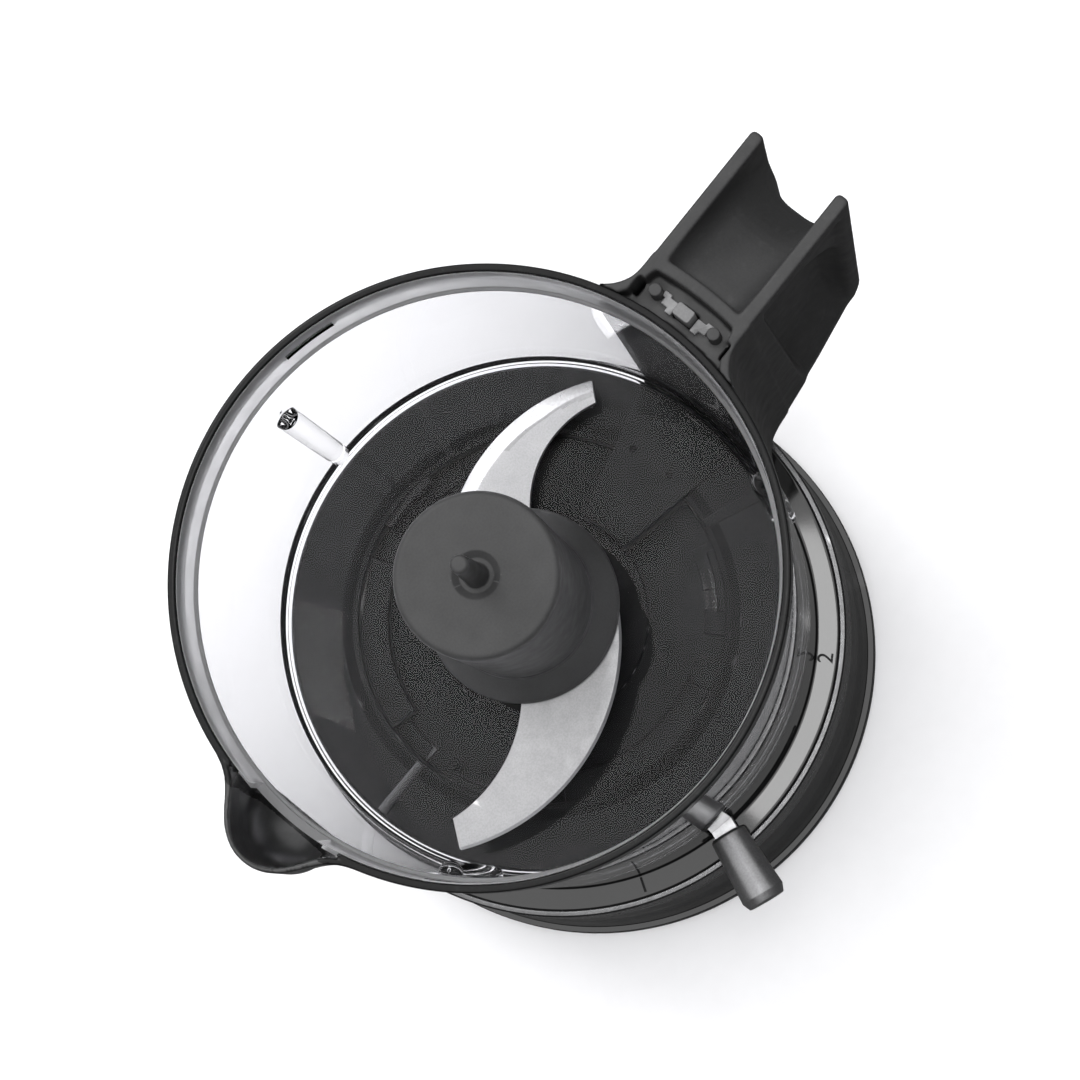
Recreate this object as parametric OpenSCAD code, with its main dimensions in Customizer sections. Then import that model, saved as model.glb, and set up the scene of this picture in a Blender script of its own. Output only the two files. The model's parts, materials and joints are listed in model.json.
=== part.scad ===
// Small food processor: a round motor base, a twist-lock clear bowl with a handle and a pouring
// lip, and a two-blade chopping hub on a geared spindle. Origin: on the spindle's axis, at the
// surface it stands on. +Z is up, +X points to the handle, -Y is the front with the speed lever.

/* [Base] */
// Radius of the base where it meets the table
base_r = 71; // [70:0.5:73]
// Radius of the base under the metal band
waist_r = 66.9; // [66.5:0.1:67.5]
// Height of the lower edge of the metal band
band_z = 45; // [44:0.5:46]
// Height of the metal band
band_h = 17; // [16:0.5:18]
// Height of the shoulder that the bowl's skirt rests on
seat_z = 88; // [87.5:0.25:88.5]
// Wall thickness of the base mouldings
base_wall = 2.6; // [2.4:0.1:3]

/* [Bowl] */
// Outside radius of the bowl's rim
rim_r = 63; // [62.5:0.25:63.5]
// Height of the rim above the table
rim_z = 172; // [170:0.5:174]
// Inside radius of the bowl at its floor
floor_r = 58.4; // [58:0.1:58.6]
// Height of the bowl's inside floor
floor_z = 97.2; // [96.9:0.1:97.6]
// Radius of the pouring lip
spout_r = 14; // [13:0.5:15]
// Angle that the bowl turns to unlock
twist_angle = 25; // [22:1:25]

/* [Handle] */
// Distance from the bowl's axis to the handle's tip
handle_x = 104; // [102:0.5:106]
// Width of the handle across its two side walls
handle_w = 24.6; // [24:0.2:25]
// Thickness of each side wall
cheek_t = 3; // [2.6:0.1:3.2]
// Downward stroke of the start rod and the plunger below it
press = 2.8; // [2:0.1:2.8]

/* [Blades] */
// Outside radius of the hub
hub_r = 17.2; // [17:0.1:17.5]
// Height of the hub's top face
hub_z = 169.5; // [169:0.25:170]
// Length of the pin that steadies the hub in the lid
pin_h = 17.5; // [16:0.5:18]
// Radius of that pin
pin_r = 2.1; // [2:0.05:2.2]
// Radius of the circle that the blade tips sweep
sweep_r = 54.6; // [54:0.1:55]
// Thickness of the blade steel
blade_t = 1.4; // [1.2:0.1:1.5]

/* [Drive] */
// Teeth on the spindle's gear, a multiple of 4
gear_teeth = 52; // [52]
// Teeth on the motor's pinion
pinion_teeth = 12; // [12]
// Gear module: pitch diameter per tooth
gear_module = 1; // [1]
// Radius of the spindle in its bushes
spindle_r = 4; // [4]
// Radial running clearance of every shaft
run_gap = 0.05; // [0.03:0.01:0.08]

/* [Speed lever] */
// Direction of the lever at its resting end, seen from above
lever_angle = -110; // [-110]
// Largest radius of the lever's barrel
barrel_r = 5.3; // [5:0.1:5.4]

/* [Hidden] */
$fn = 96;
tiny = 0.02;
deck_z = seat_z + 4.6;
disc_z = seat_z - 0.8;
recess_r = 42;
ledge_z = band_z + band_h + 1.2;
collar_top = 104;
skirt_z = seat_z + 0.3;
bowl_under = floor_z - 2.6;
ledge_in_z = rim_z - 11.2;
tube_r = 9.2;
tube_top = 140;
lug_angles = [88, -40, -160];
lug_span = 20;
rib_angles = [90, -30, -150];
motor_y = gear_module * (gear_teeth + pinion_teeth) / 2;
plate_z = 60.5;
plate_t = 3;
gear_z = 77;
gear_t = 7;
boss_angles = [40, 140, -50, -130];
boss_at = 50;
foot_angles = [45, 135, 225, 315];
foot_at = 60;
pivot_y = -28;
lever_z = 68.5;
plunger_x = 62.9;
plunger_r = 1.15;
rod_x = 66.5;
shelf_z = 110;
spindle_top = 158;

// ---------- shared shapes ----------

module ring(r_in, r_out, z, h) {
  translate([0, 0, z]) difference() {
    cylinder(r = r_out, h = h);
    translate([0, 0, -1]) cylinder(r = r_in, h = h + 2);
  }
}

module at_angles(angles, r) {
  for (a = angles) rotate([0, 0, a]) translate([r, 0, 0]) children();
}

// Part of a ring, centred on angle a and reaching span / 2 to each side.
module arc_block(r_in, r_out, z, h, a, span) {
  rotate([0, 0, a - span / 2]) rotate_extrude(angle = span)
    translate([r_in, z]) square([r_out - r_in, h]);
}

// A pan-head screw pointing up, with its head's underside at z = 0.
module screw(shank_r, shank_h, head_r, head_h) {
  difference() {
    union() {
      cylinder(r = shank_r, h = shank_h);
      translate([0, 0, -head_h]) cylinder(r = head_r, h = head_h);
    }
    for (a = [0, 90]) rotate([0, 0, a])
      translate([-head_r * 0.6, -0.4, -head_h - 1]) cube([head_r * 1.2, 0.8, 1.8]);
  }
}

// Spur gear outline: plain trapezoid teeth that leave a little backlash.
module gear_2d(teeth, turn = 0) {
  pitch_r = gear_module * teeth / 2;
  tooth = 360 / teeth;
  function at(r, a) = [r * cos(a), r * sin(a)];
  polygon([for (i = [0 : teeth - 1]) each
    [at(pitch_r - 1.15, turn + tooth * (i - 0.28)), at(pitch_r + 0.85, turn + tooth * (i - 0.11)),
     at(pitch_r + 0.85, turn + tooth * (i + 0.11)), at(pitch_r - 1.15, turn + tooth * (i + 0.28))]]);
}

// Round-wire compression spring standing on z = 0, as one swept surface.
module spring(coil_r, wire_r, height, turns) {
  sides = 6;
  steps = 14;
  last = turns * steps;
  rise = (height - 2 * wire_r) / last;
  points = [for (i = [0 : last], j = [0 : sides - 1])
    let (a = 360 * i / steps, b = 360 * j / sides, r = coil_r + wire_r * cos(b))
    [r * cos(a), r * sin(a), wire_r + rise * i + wire_r * sin(b)]];
  walls = [for (i = [0 : last - 1], j = [0 : sides - 1]) let (k = (j + 1) % sides)
    each [[i * sides + j, i * sides + k, (i + 1) * sides + k],
          [i * sides + j, (i + 1) * sides + k, (i + 1) * sides + j]]];
  ends = [[for (j = [sides - 1 : -1 : 0]) j], [for (j = [0 : sides - 1]) last * sides + j]];
  polyhedron(points, concat(walls, ends));
}

// ---------- base ----------

module foot_ring() {
  color("dimgray") ring(57, base_r - 3.5, 0, 1.2);
}

module bottom_plate() {
  color("black") difference() {
    union() {
      translate([0, 0, 1.2]) cylinder(r = base_r - base_wall - 0.4, h = 2.5);
      translate([50, -5, 3.7]) cube([13, 10, 26.3]);
      for (x = [-27, 27], y = [-44, -18]) translate([x, y, 3.7]) cylinder(r = 3, h = 5.3);
    }
    at_angles(foot_angles, foot_at) {
      translate([0, 0, 1]) cylinder(r = 1.8, h = 4);
      translate([0, 0, 1]) cylinder(r = 3.4, h = 1.5);
    }
    for (i = [-3 : 3]) translate([i * 6 - 1.25, motor_y - 18, 0]) cube([2.5, 36, 5]);
  }
}

module bottom_screws() {
  color("silver") at_angles(foot_angles, foot_at) translate([0, 0, 2.48]) screw(1.6, 10, 3.1, 1.2);
}

module lower_housing() {
  color("black") difference() {
    union() {
      rotate_extrude() polygon([
        [base_r - base_wall, 0.8], [base_r - 0.3, 0.8], [base_r, 1.4], [base_r - 0.7, 6.3],
        [base_r - 2.2, 12.6], [base_r - 3.2, 24], [waist_r, band_z - 0.4], [waist_r - 0.3, band_z - 0.1],
        [waist_r - base_wall, band_z - 0.1], [base_r - 3.2 - base_wall, 24],
        [base_r - 2.2 - base_wall, 12.6], [base_r - 0.7 - base_wall, 6.3]]);
      at_angles(foot_angles, foot_at) {
        translate([0, 0, 3.8]) cylinder(r = 4, h = 12);
        translate([0, -1, 3.8]) cube([6.5, 2, 12]);
      }
    }
    at_angles(foot_angles, foot_at) translate([0, 0, 3]) cylinder(r = 1.65, h = 11);
    translate([0, base_r - 12, 15]) rotate([-90, 0, 0]) cylinder(r = 5.1, h = 20);
  }
}

module cable_gland() {
  color("dimgray") translate([0, base_r - 7.5, 15]) rotate([-90, 0, 0]) difference() {
    union() {
      cylinder(r = 7, h = 1.4);
      cylinder(r = 5, h = 9);
    }
    translate([0, 0, -1]) cylinder(r = 3.3, h = 12);
  }
}

module trim_band() {
  color("silver") rotate_extrude() polygon([
    [waist_r - 1.6, band_z], [waist_r - 0.4, band_z], [waist_r, band_z + 0.4],
    [waist_r - 0.3, band_z + band_h - 0.4], [waist_r - 0.7, band_z + band_h],
    [waist_r - 1.6, band_z + band_h]]);
}

module upper_housing() {
  wall_r = waist_r - 1.7;
  color("black") difference() {
    union() {
      rotate_extrude() polygon([
        [wall_r - 2.2, band_z], [wall_r, band_z], [wall_r, ledge_z - 0.9], [wall_r - 0.4, ledge_z],
        [61.9, ledge_z], [61.3, ledge_z + 0.7], [60.3, seat_z - 0.4], [59.9, seat_z],
        [57.6, seat_z], [57.4, deck_z - 0.6], [56.8, deck_z], [recess_r + 1.4, deck_z],
        [recess_r, deck_z - 1.4], [recess_r, disc_z], [6.8, disc_z], [6.8, collar_top],
        [5.05, collar_top], [5.05, disc_z - 2.5], [recess_r + 2.4, disc_z - 2.5],
        [recess_r + 2.4, deck_z - 2.4], [54.8, deck_z - 2.4], [54.9, seat_z - 2.4],
        [57.7, seat_z - 2.4], [58.8, ledge_z + 0.7], [59.2, ledge_z - 2.4],
        [wall_r - 2.2, ledge_z - 2.4]]);
      for (a = lug_angles) arc_block(40.2, recess_r + 0.1, deck_z - 2.3, 1.6, a, lug_span);
      at_angles(boss_angles, boss_at)
        translate([0, 0, plate_z + plate_t + tiny]) cylinder(r = 3.4, h = 26.5);
      at_angles(boss_angles, boss_at)
        translate([0, -1, 80]) cube([7, 2, 9]);
    }
    at_angles(boss_angles, boss_at) translate([0, 0, plate_z]) cylinder(r = 1.35, h = 16);
    translate([plunger_x, 0, band_z - 1]) cylinder(r = plunger_r + 0.15, h = 20);
    arc_block(55, 64, lever_z - 2.5, 5, -90, 33);
  }
}

// ---------- drive carrier and motor ----------

module carrier_plate() {
  color("gray") difference() {
    union() {
      translate([0, 0, plate_z]) cylinder(r = 55, h = plate_t);
      translate([0, 0, 56.2]) cylinder(r = 7.6, h = 9.6);
    }
    translate([0, 0, 50]) cylinder(r = 6, h = 20);
    translate([0, motor_y, 55]) cylinder(r = 7, h = 12);
    at_angles(boss_angles, boss_at) translate([0, 0, 55]) cylinder(r = 1.7, h = 12);
    translate([0, motor_y, 55]) for (a = [0, 180]) rotate([0, 0, a])
      translate([16, 0, 0]) cylinder(r = 1.7, h = 12);
    translate([0, pivot_y, 55]) cylinder(r = 2, h = 12);
  }
}

module carrier_screws() {
  color("silver") at_angles(boss_angles, boss_at) translate([0, 0, plate_z - tiny]) screw(1.3, 12, 2.8, 1.6);
}

module on_motor() {
  translate([0, motor_y, 0]) children();
}

module motor_can() {
  color("lightgray") on_motor() difference() {
    translate([0, 0, 14]) cylinder(r = 24, h = 42);
    translate([0, 0, 15.6]) cylinder(r = 22.6, h = 42);
    translate([0, 0, 10]) cylinder(r = 5.05, h = 8);
  }
}

module motor_end_cap() {
  color("white") on_motor() difference() {
    union() {
      translate([0, 0, 56.05]) cylinder(r = 24, h = 4.4);
      translate([0, 0, 60]) cylinder(r = 6.9, h = 4);
    }
    translate([0, 0, 50]) cylinder(r = 5.05, h = 20);
    for (x = [-16, 16]) translate([x, 0, 50]) cylinder(r = 1.35, h = 20);
    for (x = [-10.5, 10.5]) translate([x - 4, -3, 50]) cube([8, 6, 8.2]);
  }
}

module field_magnets() {
  color("dimgray") on_motor() for (a = [90, 270]) arc_block(18.4, 22.5, 22, 26, a, 130);
}

module motor_bushes() {
  color("goldenrod") on_motor() {
    ring(2.5 + run_gap, 5, 14, 6);
    ring(2.5 + run_gap, 5, 56.2, 7.6);
  }
}

module motor_screws() {
  color("silver") on_motor() for (x = [-16, 16])
    translate([x, 0, plate_z + plate_t + tiny]) mirror([0, 0, 1]) screw(1.3, 6.5, 2.8, 1.6);
}

module brush_holders() {
  color("gold") on_motor() for (s = [-1, 1]) difference() {
    translate([s * 10.5 - 3.9, -2.9, 50.6]) cube([7.8, 5.8, 7.4]);
    translate([s * 10.5 - 5, -2.1, 51.4]) cube([10, 4.2, 4.6]);
  }
}

module carbon_brushes() {
  color("black") on_motor() for (a = [0, 180]) rotate([0, 0, a])
    translate([5.15, -2, 51.5]) cube([8, 4, 4.4]);
}

module motor_shaft() {
  color("silver") on_motor() translate([0, 0, 12]) cylinder(r = 2.5, h = 72.3);
}

module armature_core() {
  color("slategray") on_motor() difference() {
    translate([0, 0, 26]) cylinder(r = 17.6, h = 18);
    translate([0, 0, 20]) cylinder(r = 2.5, h = 30);
    for (a = [0 : 60 : 300]) rotate([0, 0, a]) {
      translate([9, -1, 25]) cube([10, 2, 20]);
      translate([11, 0, 25]) cylinder(r = 2.6, h = 20);
    }
  }
}

module armature_windings() {
  color("chocolate") on_motor() {
    ring(5.2, 14.5, 20.5, 5.5);
    ring(5.2, 14.5, 44, 5.5);
  }
}

module commutator() {
  color("peru") on_motor() difference() {
    translate([0, 0, 49.6]) cylinder(r = 5, h = 6.4);
    translate([0, 0, 40]) cylinder(r = 2.5, h = 20);
    for (a = [0 : 60 : 300]) rotate([0, 0, a]) translate([4, -0.2, 49]) cube([2, 0.4, 8]);
  }
}

module pinion() {
  color("goldenrod") on_motor() difference() {
    translate([0, 0, gear_z - 1]) linear_extrude(gear_t + 1)
      gear_2d(pinion_teeth, 180 / pinion_teeth);
    translate([0, 0, 70]) cylinder(r = 2.5, h = 30);
  }
}

// ---------- electrics ----------

module circuit_board() {
  color("darkgreen") difference() {
    translate([-31, -48, 9.05]) cube([62, 34, 1.6]);
    for (x = [-27, 27], y = [-44, -18]) translate([x, y, 8]) cylinder(r = 1.3, h = 4);
  }
}

module board_parts() {
  board_top = 10.7;
  color("darkorange") {
    translate([-14, -36, board_top]) cylinder(r = 6.3, h = 20);
    translate([-2, -42, board_top]) cube([15, 11, 12]);
    translate([-3, -27, board_top]) cube([12, 4, 11]);
    translate([17, -38, board_top]) cube([11, 14, 9]);
    for (x = [-22, -16, -10]) translate([x, -22, board_top]) cube([3, 3, 5]);
  }
}

module start_switch() {
  color("dimgray") {
    translate([50.5, -4, 30.05]) cube([6.8, 8, 8]);
    translate([54.5, 0, 38.05]) cylinder(r = 0.9, h = 0.9);
  }
}

module plunger_spring() {
  color("silver") translate([60.4, 0, 30.1]) spring(1.9, 0.3, 11.8, 5);
}

module speed_switch() {
  color("dimgray") {
    translate([-19, -24, plate_z + plate_t + tiny]) cube([12, 6.5, 7]);
    translate([-7, -20.8, 68.5]) rotate([0, 90, 0]) cylinder(r = 0.9, h = 1.2);
  }
}

// ---------- spindle ----------

module spindle_bushes() {
  color("goldenrod") {
    ring(spindle_r + run_gap, 5.95, 56.4, 9.2);
    ring(spindle_r + run_gap, 5.02, 91, 12.9);
  }
}

module spindle_seal() {
  color("dimgray") rotate_extrude() polygon([
    [spindle_r + 0.08, collar_top + tiny], [6.7, collar_top + tiny], [6.7, collar_top + 1.4],
    [spindle_r + 0.9, collar_top + 2.4], [spindle_r + 0.08, collar_top + 2.4]]);
}

module drive_spindle() {
  color("lightgray") {
    difference() {
      translate([0, 0, 53]) cylinder(r = spindle_r, h = 54.5);
      ring(3.2, 6, 54.8, 1);
    }
    translate([0, 0, 107.5]) cylinder(r = 5.6, h = spindle_top - 108.5, $fn = 6);
    translate([0, 0, spindle_top - 1]) cylinder(r = 4.4, h = 1);
  }
}

module output_gear() {
  color("ivory") difference() {
    union() {
      translate([0, 0, gear_z]) linear_extrude(gear_t) gear_2d(gear_teeth);
      translate([0, 0, 72]) cylinder(r = 8, h = 5.1);
    }
    translate([0, 0, 60]) cylinder(r = spindle_r + tiny, h = 40);
    difference() {
      ring(10, 22, gear_z + 4, 5);
      for (a = [0 : 60 : 300]) rotate([0, 0, a]) translate([8, -1.2, 70]) cube([16, 2.4, 20]);
    }
  }
}

module retaining_clip() {
  color("silver") difference() {
    ring(3.25, 6, 54.9, 0.8);
    translate([0, -2, 50]) cube([10, 4, 10]);
  }
}

// ---------- chopping blades ----------

// One curved blade lying flat: the outline lies between a convex cutting arc and a concave back
// arc, is cut off obliquely at the tip, and its root sits in a pocket in the hub's wall.
module blade(edge_c, edge_r, back_c, back_r, z, tip_az, root_az) {
  far = 90;
  function out(a) = [far * cos(a), far * sin(a)];
  translate([0, 0, z]) difference() {
    linear_extrude(blade_t) intersection() {
      difference() {
        translate(edge_c) circle(r = edge_r);
        translate(back_c) circle(r = back_r);
      }
      circle(r = sweep_r);
      polygon([[0, 0], out(tip_az), out(tip_az + 30), out(root_az - 30), out(root_az)]);
    }
    translate([0, 0, -1]) cylinder(r = 15.3, h = 4);
  }
}

module lower_blade_at(z) {
  blade([22.4, -11.2], 43, [34, -3.4], 24.7, z, 21.5, 118);
}

module upper_blade_at(z) {
  blade([-21.9, 14.4], 46.5, [-35.1, 13], 32, z, 199, 298);
}

lower_z = 101;
upper_z = 112.6;

module lower_blade() {
  color("lightgray") lower_blade_at(lower_z);
}

module upper_blade() {
  color("lightgray") upper_blade_at(upper_z);
}

module blade_hub() {
  foot = 99;
  bore_r = 14.4;
  skirt_top = 121.5;
  color("dimgray") {
    difference() {
      rotate_extrude() polygon([
        [bore_r, foot], [16.2, foot], [16.2, 114.6], [21.4, 114.6], [21.5, 115.4], [16.8, skirt_top],
        [16.4, skirt_top + 1], [hub_r, hub_z - 2.2], [hub_r - 0.7, hub_z - 0.7], [hub_r - 2.2, hub_z],
        [5, hub_z], [4, hub_z - 0.8], [0, hub_z - 0.8], [0, hub_z - 4.2], [bore_r, hub_z - 4.2]]);
      lower_blade_at(lower_z);
      upper_blade_at(upper_z);
    }
    translate([0, 0, hub_z - 1]) cylinder(r = pin_r, h = pin_h);
    translate([0, 0, hub_z - 1 + pin_h]) cylinder(r1 = pin_r, r2 = pin_r - 0.7, h = 1);
  }
}

module hub_core() {
  color("gray") difference() {
    translate([0, 0, 142]) cylinder(r = 14.3, h = hub_z - 4.3 - 142);
    translate([0, 0, 130]) cylinder(r = 5.75, h = spindle_top + 0.4 - 130, $fn = 6);
    for (a = [0 : 60 : 300]) rotate([0, 0, a + 30])
      translate([10.2, 0, 141]) cylinder(r = 2, h = 18);
  }
}

// ---------- bowl ----------

// Solid of revolution out to the bowl's outer surface, grown by gap.
module bowl_envelope(gap) {
  rotate_extrude() polygon([
    [0, skirt_z - 20], [61.4 + gap, skirt_z - 20], [61.4 + gap, skirt_z], [61 + gap, skirt_z + 2],
    [61 + gap, skirt_z + 10], [rim_r - 0.6 + gap, ledge_in_z],
    [rim_r + gap, ledge_in_z + 1.5], [rim_r + gap, rim_z + 5], [0, rim_z + 5]]);
}

module spout_cup(r) {
  translate([3 - rim_r, 0, rim_z - 13]) {
    sphere(r = r);
    cylinder(r = r, h = 20);
  }
}

module bowl() {
  lug_top = bowl_under + 0.5;
  toe_z = deck_z - 4.2;
  color("whitesmoke") difference() {
    union() {
      rotate_extrude() polygon([
        [58.2, skirt_z], [60.8, skirt_z], [61, skirt_z + 10], [rim_r - 0.6, ledge_in_z],
        [rim_r, ledge_in_z + 1.5], [rim_r, rim_z - 0.5], [rim_r - 0.5, rim_z], [rim_r - 1.5, rim_z],
        [rim_r - 1.8, rim_z - 0.3], [rim_r - 2.4, ledge_in_z], [rim_r - 3.3, ledge_in_z],
        [floor_r + 0.1, floor_z + 1.2], [floor_r - 1.2, floor_z], [tube_r + 1, floor_z],
        [tube_r, floor_z + 1], [tube_r - 0.6, tube_top], [tube_r - 2, tube_top], [tube_r - 2, bowl_under],
        [58.2, bowl_under]]);
      for (a = lug_angles) {
        arc_block(37.8, 39.6, toe_z, lug_top - toe_z, a, lug_span - 1);
        arc_block(37.8, 41.5, toe_z, 1.6, a, lug_span - 1);
      }
      at_angles(rib_angles, floor_r + 1.4) {
        translate([0, 0, floor_z]) cylinder(r = 2, h = 46);
        translate([0, 0, floor_z + 46]) sphere(r = 2);
      }
      difference() {
        intersection() {
          spout_cup(spout_r);
          translate([-100, -30, 100]) cube([200, 60, rim_z - 100]);
        }
        bowl_envelope(-1.2);
      }
    }
    intersection() {
      spout_cup(spout_r - 1.8);
      difference() {
        translate([-100, -30, ledge_in_z + 0.6]) cube([60, 60, 30]);
        cylinder(r = rim_r - 3.4, h = 200);
      }
    }
    difference() {
      spout_cup(spout_r - 1.8);
      bowl_envelope(0.1);
    }
    for (a = [75, 285, 215]) arc_block(rim_r - 3, rim_r - 0.9, rim_z - 6.5, 2.4, a, 11);
  }
}

// Side view of the handle in the XZ plane, with its lower outer corner rounded.
module handle_side(x_in) {
  corner_r = 7;
  polygon(concat(
    [[x_in, rim_z], [handle_x - 0.6, rim_z], [handle_x, rim_z - 0.6], [handle_x - 1.8, rim_z - 64]],
    [for (a = [0 : 6 : 42]) [handle_x - 1.8 - corner_r * (1 - cos(a)), rim_z - 64 - corner_r * sin(a)]],
    [[85.3, 87.2], [71.5, 76.2], [67, 73.4], [x_in, 73.4]]));
}

// The part of the handle between the cheeks: it falls from the bridge to the tip.
module handle_core_side(x_in) {
  nose_r = 15;
  nose_x = handle_x - 4 - nose_r;
  nose_z = rim_z - 11.5 - nose_r;
  polygon(concat(
    [[x_in, rim_z - 4.6], [74, rim_z - 4.6], [nose_x, rim_z - 11.5]],
    [for (a = [84 : -6 : 0]) [nose_x + nose_r * cos(a), nose_z + nose_r * sin(a)]],
    [[handle_x - 4.4, rim_z - 60], [93, 99], [85.3, 90], [71.5, 78], [67, 75.4], [x_in, 75.4]]));
}

module across(width) {
  translate([0, width / 2, 0]) rotate([90, 0, 0]) linear_extrude(width) children();
}

// One side wall, with the shallow finger scoop cut into its outer face.
module cheek() {
  scoop_depth = 1.6;
  difference() {
    across(cheek_t) handle_side(60.5);
    translate([0, cheek_t / 2 - scoop_depth + 5, 0]) across(10) polygon([
      [handle_x - 7, rim_z - 9], [handle_x - 8.5, rim_z - 60], [handle_x - 15, rim_z - 75],
      [handle_x - 30, 70], [79, 70], [75, rim_z - 9]]);
  }
}

module bowl_handle() {
  root_x = 60.5;
  flare = 3;
  half = handle_w / 2;
  color("dimgray") difference() {
    union() {
      translate([0, half - cheek_t / 2, 0]) cheek();
      mirror([0, 1, 0]) translate([0, half - cheek_t / 2, 0]) cheek();
      across(handle_w - 2 * cheek_t + 1) handle_core_side(root_x);
      translate([0, 0, 73.4]) linear_extrude(rim_z - 73.4) polygon([
        [root_x, half + flare], [63.5, half + flare], [65.5, half + 1.4], [68.5, half + 0.3],
        [72, half - 1], [73.4, 4], [73.4, -4], [72, 1 - half], [68.5, -half - 0.3],
        [65.5, -half - 1.4], [63.5, -half - flare], [root_x, -half - flare]]);
    }
    bowl_envelope(0.1);
    intersection() {
      ring(rim_r + 1, 71, rim_z - 11, 20);
      translate([55, 0.4 - half, 100]) cube([20, handle_w - 0.8, 100]);
    }
    translate([rod_x - 1.6, -2.3, shelf_z]) cube([3.2, 4.6, 70]);
    translate([rod_x, 0, 70]) cylinder(r = 1.3, h = 60);
    translate([rod_x, 0, shelf_z]) cylinder(r = 2.5, h = 16);
    for (s = [-1, 1]) translate([rod_x + 0.2, s * 7.45, rim_z - 17]) cylinder(r = 1.5, h = 20);
    for (s = [-1, 1]) translate([70, s * 6.5, 70]) {
      cylinder(r = 1.35, h = 22);
      cylinder(r = 3, h = 8);
    }
  }
}

module handle_pins() {
  color("gray") for (s = [-1, 1]) translate([rod_x + 0.2, s * 7.45, rim_z - 16.9])
    cylinder(r = 1.48, h = 16.6);
}

module handle_screws() {
  color("silver") for (s = [-1, 1]) translate([70, s * 6.5, 77.98]) screw(1.3, 12, 2.6, 1.6);
}

module rod_guide() {
  color("lightgray") difference() {
    translate([64.6, -4.8, rim_z - 11 + tiny]) cube([4, 9.6, 2.4]);
    translate([rod_x - 1.6, -2.3, rim_z - 15]) cube([3.2, 4.6, 12]);
  }
}

module actuator_rod() {
  spring_top = shelf_z + 14;
  color("lightgray") {
    translate([rod_x - 1.4, -2.05, spring_top]) cube([2.8, 4.1, rim_z - 0.4 - spring_top]);
    translate([rod_x, 0, 71]) cylinder(r = 1.15, h = spring_top - 70);
    translate([61.9, -2, 70]) cube([5.8, 4, 2.6]);
  }
}

module rod_spring() {
  color("silver") translate([rod_x, 0, shelf_z + 0.1]) spring(1.95, 0.3, 13.8, 6);
}

module switch_plunger() {
  color("white") {
    translate([plunger_x, 0, 43]) cylinder(r = plunger_r, h = 26.7);
    translate([53.4, -2.2, 42]) cube([10.4, 4.4, 2]);
  }
}

// ---------- speed lever ----------

module lever_pin() {
  color("silver") translate([0, pivot_y, plate_z - 1.5]) cylinder(r = 2, h = 13.5);
}

module along_lever() {
  translate([0, pivot_y, lever_z]) rotate([0, 0, lever_angle]) children();
}

module lever_arm() {
  color("silver") along_lever() difference() {
    union() {
      translate([0, 0, -2]) cylinder(r = 5, h = 4);
      translate([0, -2.8, -2]) cube([35.3, 5.6, 4]);
      translate([-8, -1.5, -2]) cube([8, 3, 4]);
    }
    translate([0, 0, -3]) cylinder(r = 2 + run_gap, h = 6);
  }
}

module lever_knob() {
  color("silver") along_lever() translate([35.3, 0, 0]) rotate([0, 90, 0]) rotate_extrude() polygon([
    [0, 0], [3.9, 0], [4.35, 0.5], [barrel_r, 16], [barrel_r - 1, 17.9], [0, 17.9]]);
}

foot_ring();
bottom_plate();
bottom_screws();
lower_housing();
cable_gland();
trim_band();
upper_housing();
carrier_plate();
carrier_screws();
motor_can();
motor_end_cap();
field_magnets();
motor_bushes();
motor_screws();
brush_holders();
carbon_brushes();
circuit_board();
board_parts();
start_switch();
plunger_spring();
speed_switch();
lever_pin();
spindle_bushes();
spindle_seal();
motor_shaft();
armature_core();
armature_windings();
commutator();
pinion();
drive_spindle();
output_gear();
retaining_clip();
blade_hub();
hub_core();
lower_blade();
upper_blade();
bowl();
bowl_handle();
handle_pins();
handle_screws();
rod_guide();
rod_spring();
actuator_rod();
switch_plunger();
lever_arm();
lever_knob();
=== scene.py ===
"""Looks for the small food processor: its clear bowl, handle, blades and glossy base.

Lengths in the tables below are in millimetres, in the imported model's frame: the spindle stands on
the origin, +Z is up, +X points to the handle and -Y is the front with the speed lever.
"""

import itertools
import json
import math

import bmesh
import bpy
import numpy as np
from mathutils import Matrix, Vector


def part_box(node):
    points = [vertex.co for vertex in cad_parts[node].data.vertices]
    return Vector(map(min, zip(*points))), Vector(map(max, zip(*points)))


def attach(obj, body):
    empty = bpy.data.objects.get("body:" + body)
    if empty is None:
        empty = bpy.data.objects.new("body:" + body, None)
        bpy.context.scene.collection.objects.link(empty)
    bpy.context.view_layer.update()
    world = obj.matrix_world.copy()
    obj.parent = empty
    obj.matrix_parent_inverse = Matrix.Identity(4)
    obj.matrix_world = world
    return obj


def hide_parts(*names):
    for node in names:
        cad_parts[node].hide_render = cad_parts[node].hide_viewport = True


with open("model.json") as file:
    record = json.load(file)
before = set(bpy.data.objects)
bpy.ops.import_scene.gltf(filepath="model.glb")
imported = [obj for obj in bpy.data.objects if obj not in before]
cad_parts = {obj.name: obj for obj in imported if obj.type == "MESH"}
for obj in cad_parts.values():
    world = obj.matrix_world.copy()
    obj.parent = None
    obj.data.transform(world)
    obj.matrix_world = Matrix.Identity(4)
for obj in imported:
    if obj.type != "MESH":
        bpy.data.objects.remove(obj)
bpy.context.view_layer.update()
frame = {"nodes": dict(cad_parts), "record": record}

MM = 0.001
AROUND = 240  # segments of a turned part


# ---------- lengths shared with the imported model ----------

def node_box(name):
    """A node's lowest and highest corners in millimetres."""
    low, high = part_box(name)
    return np.array(low) / MM, np.array(high) / MM


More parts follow.
